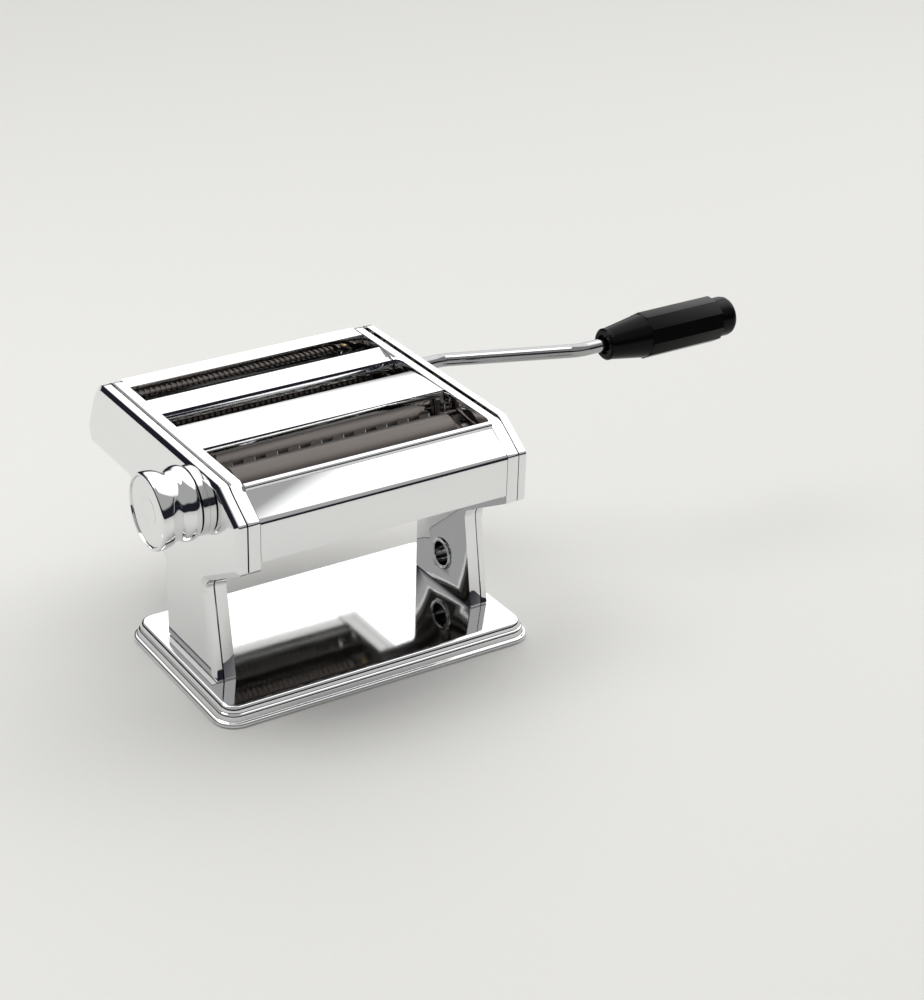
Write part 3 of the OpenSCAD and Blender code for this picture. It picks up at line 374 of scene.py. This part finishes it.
def bend_edges(thing, y, z, radius):
    """Rounds the long edges that run along X at one place, as a press brake does."""
    edit_all(thing)
    bpy.ops.mesh.select_all(action="DESELECT")
    leave_edit()
    for edge in thing.data.edges:
        ends = [thing.data.vertices[v].co for v in edge.vertices]
        edge.select = all(
            abs(end.y - y * MM) < BEND_REACH and abs(end.z - z * MM) < BEND_REACH for end in ends
        )
    bpy.ops.object.mode_set(mode="EDIT")
    bpy.ops.mesh.select_mode(type="EDGE")
    bpy.ops.mesh.bevel(offset=radius * MM, offset_type="OFFSET", segments=BEND_STEPS, affect="EDGES")
    bpy.ops.mesh.select_mode(type="VERT")
    leave_edit()


def eased(node, width, bends):
    """A copy of a CAD node with its sharp edges rounded over."""
    thing = bpy.data.objects.new(node + "_finished", frame["nodes"][node].data.copy())
    bpy.context.scene.collection.objects.link(thing)
    edit_all(thing)
    bpy.ops.mesh.remove_doubles(threshold=CAD_MERGE)
    bpy.ops.mesh.dissolve_limited(angle_limit=FLAT_ANGLE)
    leave_edit()
    for y, z, radius in bends:
        bend_edges(thing, y, z, radius)
    bevel = thing.modifiers.new("edges", "BEVEL")
    bevel.width = width * MM
    bevel.segments = EDGE_STEPS
    bevel.limit_method = "ANGLE"
    bevel.angle_limit = SHARP_ANGLE
    bevel.harden_normals = False
    bevel.use_clamp_overlap = True
    weighted = thing.modifiers.new("normals", "WEIGHTED_NORMAL")
    weighted.keep_sharp = True
    weighted.weight = NORMAL_WEIGHT
    apply_all(thing)
    settle(thing, node, smooth=50)


def turned(name, line, x, y, z, way, sides):
    """A shape turned about an axis along X, from (radius, distance) pairs in order along it."""
    start_r, start_s = line[0]
    bpy.ops.mesh.primitive_circle_add(
        vertices=sides, radius=start_r * MM, fill_type="NOTHING",
        location=(x + way * start_s * MM, y, z), rotation=(0, RIGHT_ANGLE, 0),
    )
    thing = bpy.context.object
    thing.name = name
    bpy.ops.object.mode_set(mode="EDIT")
    bpy.ops.mesh.edge_face_add()
    bpy.ops.mesh.select_all(action="SELECT")
    radius, distance = start_r, start_s
    for next_r, next_s in line[1:]:
        bpy.ops.mesh.extrude_region_move(
            TRANSFORM_OT_translate={"value": (way * (next_s - distance) * MM, 0, 0)}
        )
        scale = next_r / radius
        bpy.ops.transform.resize(
            value=(1, scale, scale), center_override=(x + way * next_s * MM, y, z)
        )
        radius, distance = next_r, next_s
    bpy.ops.mesh.select_all(action="SELECT")
    bpy.ops.mesh.normals_make_consistent(inside=False)
    leave_edit()
    return thing


def unit(v):
    return v / v.length


def left_of(v):
    return Vector((-v.y, v.x))


def inset(points, depth):
    """Moves every edge of an anticlockwise outline inwards."""
    moved = []
    for i, corner in enumerate(points):
        a = left_of(unit(corner - points[i - 1]))
        b = left_of(unit(points[(i + 1) % len(points)] - corner))
        moved.append(corner + depth * (a + b) / (1 + a.dot(b)))
    return moved


def rounded(points, radii, steps=8):
    """Rounds each corner of an outline with an arc of its own radius."""
    outline = []
    for i, corner in enumerate(points):
        a = unit(corner - points[i - 1])
        b = unit(points[(i + 1) % len(points)] - corner)
        turn = math.atan2(a.x * b.y - a.y * b.x, a.dot(b))
        side = math.copysign(1, turn)
        start = corner - a * radii[i] * math.tan(abs(turn) / 2)
        centre = start + side * radii[i] * left_of(a)
        for k in range(steps + 1):
            angle = turn * k / steps
            arm = start - centre
            outline.append(centre + Vector((
                arm.x * math.cos(angle) - arm.y * math.sin(angle),
                arm.x * math.sin(angle) + arm.y * math.cos(angle),
            )))
    return outline


def convex(points, i):
    a = points[i] - points[i - 1]
    b = points[(i + 1) % len(points)] - points[i]
    return a.x * b.y - a.y * b.x > 0


def eased_outline(points, radii, depth, least=0.4):
    """An outline moved inwards, its radii kept concentric."""
    return rounded(inset(points, depth), [
        max(radii[i] - depth, least) if convex(points, i) else radii[i] + depth
        for i in range(len(points))
    ])


def lofted(name, rings):
    """A closed shape through rings that have the same number of points."""
    count = len(rings[0])
    verts = [point for ring in rings for point in ring]
    faces = [
        (
            r * count + k,
            r * count + (k + 1) % count,
            (r + 1) * count + (k + 1) % count,
            (r + 1) * count + k,
        )
        for r in range(len(rings) - 1)
        for k in range(count)
    ]
    faces.append(tuple(reversed(range(count))))
    faces.append(tuple(range((len(rings) - 1) * count, len(rings) * count)))
    mesh = bpy.data.meshes.new(name)
    mesh.from_pydata([tuple(MM * c for c in v) for v in verts], [], faces)
    thing = bpy.data.objects.new(name, mesh)
    bpy.context.scene.collection.objects.link(thing)
    edit_all(thing)
    bpy.ops.mesh.remove_doubles(threshold=LOFT_MERGE)
    bpy.ops.mesh.normals_make_consistent(inside=False)
    leave_edit()
    return thing


def bore(thing, places):
    """Cuts round holes along X: (y, z, radius), in millimetres."""
    for y, z, radius in places:
        bpy.ops.mesh.primitive_cylinder_add(
            vertices=DRILL_SIDES, radius=radius * MM, depth=DRILL_LENGTH,
            location=(math.copysign(DRILL_X, thing.data.vertices[0].co.x), y * MM, z * MM),
            rotation=(0, RIGHT_ANGLE, 0),
        )
        drill = bpy.context.object
        cut = thing.modifiers.new("hole", "BOOLEAN")
        cut.operation = "DIFFERENCE"
        cut.solver = "EXACT"
        cut.object = drill
        pick(thing)
        bpy.ops.object.modifier_apply(modifier=cut.name)
        bpy.data.objects.remove(drill)


# ---- The pieces -----------------------------------------------------------------------

# The side boxes' outline, as (y, z) and a corner radius, anticlockwise.
SIDE = [
    (-43.8, 151.4, 2.5), (-68, 135.2, 3), (-68, 103.6, 3), (-22, 78, 8), (-33, 12.5, 1),
    (33.5, 12.5, 1), (33.5, 70, 8), (78, 103.6, 6), (136.5, 103.6, 3), (140.2, 116.1, 4),
    (129.2, 140.4, 10), (119.2, 151.4, 14),
]
COVER_EDGE_R = 1.0
COVER_EDGE_FLAT = 3.0
COVER_EDGE_LEAN = math.radians(60)
COVER_INNER_X = 93.0
COVER_OUTER_X = 100.0
COVER_MOUTH_EASE = 0.25
COVER_FLOOR_GAP = 0.2
SHEET = 1.2
# Below LEG_TOP the cover's outer face steps in by LEG_STEP, over a slope LEG_SLOPE high.
LEG_TOP = 70
LEG_STEP = 1.0
LEG_SLOPE = 1.2
KNOB_Y = -14
AXIS_Z = 129.5
DRIVE_YS = (-43.4, 42.5, 85)
KNOB_TUBE_HOLE_R = 8.1
COLLAR_HOLE_R = 8.5


def leaning_edge(radius, flat, lean):
    """An edge that turns over an arc, runs flat and turns again, as (run, inset) pairs."""
    steps = 5
    first = [lean * k / steps for k in range(steps + 1)]
    second = [lean + (RIGHT_ANGLE - lean) * k / steps for k in range(steps + 1)]
    line = [(radius * math.sin(a), radius * (1 - math.cos(a))) for a in first]
    run, drop = flat * math.cos(lean), flat * math.sin(lean)
    line += [(radius * math.sin(a) + run, radius * (1 - math.cos(a)) + drop) for a in second]
    return line


def outer_cover(node, side, holes):
    """A pressed cover: a deep leaning edge all the way round, open towards the inner frame."""
    points = [Vector((y, z)) for y, z, _ in SIDE]
    radii = [r for _, _, r in SIDE]
    edge = leaning_edge(COVER_EDGE_R, COVER_EDGE_FLAT, COVER_EDGE_LEAN)
    stations = [
        (COVER_INNER_X, SHEET),
        (COVER_INNER_X, COVER_MOUTH_EASE),
        (COVER_INNER_X + COVER_MOUTH_EASE, 0),
    ]
    stations += [(COVER_OUTER_X - edge[-1][0] + run, depth) for run, depth in edge]
    stations.insert(0, (COVER_OUTER_X - SHEET - COVER_FLOOR_GAP, SHEET))
    rings = [
        [(side * x, p.x, p.y) for p in eased_outline(points, radii, depth)]
        for x, depth in stations
    ]
    thing = lofted(node + "_finished", rings)
    edit_all(thing)
    for height in (LEG_TOP, LEG_TOP + LEG_SLOPE):
        bpy.ops.mesh.select_all(action="SELECT")
        bpy.ops.mesh.bisect(plane_co=(0, 0, height * MM), plane_no=(0, 0, 1))
    leave_edit()
    for vertex in thing.data.vertices:
        if vertex.co.z < (LEG_TOP + 0.1) * MM and abs(vertex.co.x) > (COVER_INNER_X + 0.5) * MM:
            vertex.co.x -= side * LEG_STEP * MM
    bore(thing, holes)
    weighted = thing.modifiers.new("normals", "WEIGHTED_NORMAL")
    weighted.keep_sharp = True
    settle(thing, node, smooth=40)
    apply_all(thing)


outer_cover("left_outer_cover", -1, [(KNOB_Y, AXIS_Z, KNOB_TUBE_HOLE_R)])
outer_cover("right_outer_cover", 1, [(y, AXIS_Z, COLLAR_HOLE_R) for y in DRIVE_YS])

# The tray's section, as inset from its outline and height.
TRAY_SECTION = [
    (6.2, 11.3), (6.2, 0.0), (1.1, 0.0), (0.5, 0.25), (0.12, 0.8), (0.0, 1.5), (0.12, 2.2), (0.5, 2.8),
    (1.1, 3.15), (1.8, 3.3), (2.3, 3.5), (2.55, 4.0), (2.6, 5.2), (2.75, 6.3), (3.1, 7.2), (3.6, 7.7),
    (4.1, 7.9), (4.4, 8.3), (4.55, 9.2), (4.8, 10.3), (5.3, 11.3), (6.1, 12.0), (7.1, 12.4), (8.4, 12.5),
]
TRAY_W, TRAY_D, TRAY_CORNER = 223, 136, 15


def base_tray():
    half_w, half_d = TRAY_W / 2, TRAY_D / 2
    corners = ((half_w, -half_d), (half_w, half_d), (-half_w, half_d), (-half_w, -half_d))
    points = [Vector(corner) for corner in corners]
    rings = [
        [(p.x, p.y, height) for p in eased_outline(points, [TRAY_CORNER] * 4, depth)]
        for depth, height in TRAY_SECTION
    ]
    thing = lofted("base_tray_finished", rings)
    weighted = thing.modifiers.new("normals", "WEIGHTED_NORMAL")
    weighted.keep_sharp = True
    settle(thing, "base_tray", smooth=50)
    apply_all(thing)


base_tray()

# The knob's outer line, as radius and distance from the boss.
KNOB_LINE = [
    (5.1, 0.9), (20.4, 0.9), (21.6, 1.1), (22.3, 1.7), (22.9, 3.0), (23.1, 4.6), (23.0, 6.4),
    (22.6, 8.0), (21.9, 9.6), (21.3, 11.0), (21.0, 12.4), (21.2, 13.8), (21.9, 15.4),
    (22.8, 17.2), (23.5, 19.0), (23.9, 21.0), (24.1, 23.0), (24.1, 25.2), (23.9, 26.4),
    (23.4, 27.1), (22.7, 27.4), (22.0, 27.2), (21.7, 26.6), (21.65, 24.4),
]
CAP_LINE = [
    (21.6, 0.0), (21.6, 1.5), (21.3, 1.9), (20.6, 2.05), (17, 1.75), (13, 1.5), (10.2, 1.4),
    (9.2, 1.3), (8.6, 0.95), (7.6, 0.8), (4, 0.75), (0.4, 0.75),
]
KNOB_START_X = 104
CAP_START_X = 128.4
KNOB_SIDES = 128


def turned_piece(node, line, start_x):
    thing = turned(
        node + "_finished", line, -start_x * MM, KNOB_Y * MM, AXIS_Z * MM, way=-1, sides=KNOB_SIDES
    )
    settle(thing, node, smooth=35)


turned_piece("knob", KNOB_LINE, KNOB_START_X)
turned_piece("knob_cap", CAP_LINE, CAP_START_X)

# How much each piece's sharp edges are rounded over.
EDGES = {
    "left_inner_frame": 0.5,
    "right_inner_frame": 0.5, "front_panel": 0.35, "rear_panel": 0.35, "centre_cover": 0.35,
    "feed_guide": 0.35, "dial_boss": 0.8, "clamp_sleeve": 0.5,
    "socket_collars": 0.6, "base_feet": 0.8, "leg_brackets": 0.4, "smooth_end_guards": 0.4,
    "cutter_end_guards": 0.4, "smooth_roller_front": 0.3, "smooth_roller_rear": 0.3,
    "carriage_plates": 0.4, "crank_grip": 1.3, "grip_cap": 0.8,
}

# Bends rounded further than the rest, as (y, z) and the width taken off each side.
BENDS = {"front_panel": [(-68, 135.2, 2.6)]}

for node, width in EDGES.items():
    eased(node, width, BENDS.get(node, ()))

for node, thing in frame["nodes"].items():
    thing.data.materials.clear()
    thing.data.materials.append(crank_steel if node == "crank_rod" else finishes[slot_of[node]])
    if not thing.hide_render:
        pick(thing)
        bpy.ops.object.shade_smooth_by_angle(angle=SHARP_ANGLE)

add_camera()
add_world()
add_floor()
add_softbox("key", place=(-0.7, 0.5, 1.6), aim=(0, 0, 0.1), size=(0.9, 0.9), power=9)
add_softbox("fill", place=(1.5, 0.3, 1.3), aim=(0.6, 0.1, 0), size=(1.0, 1.0), power=4)
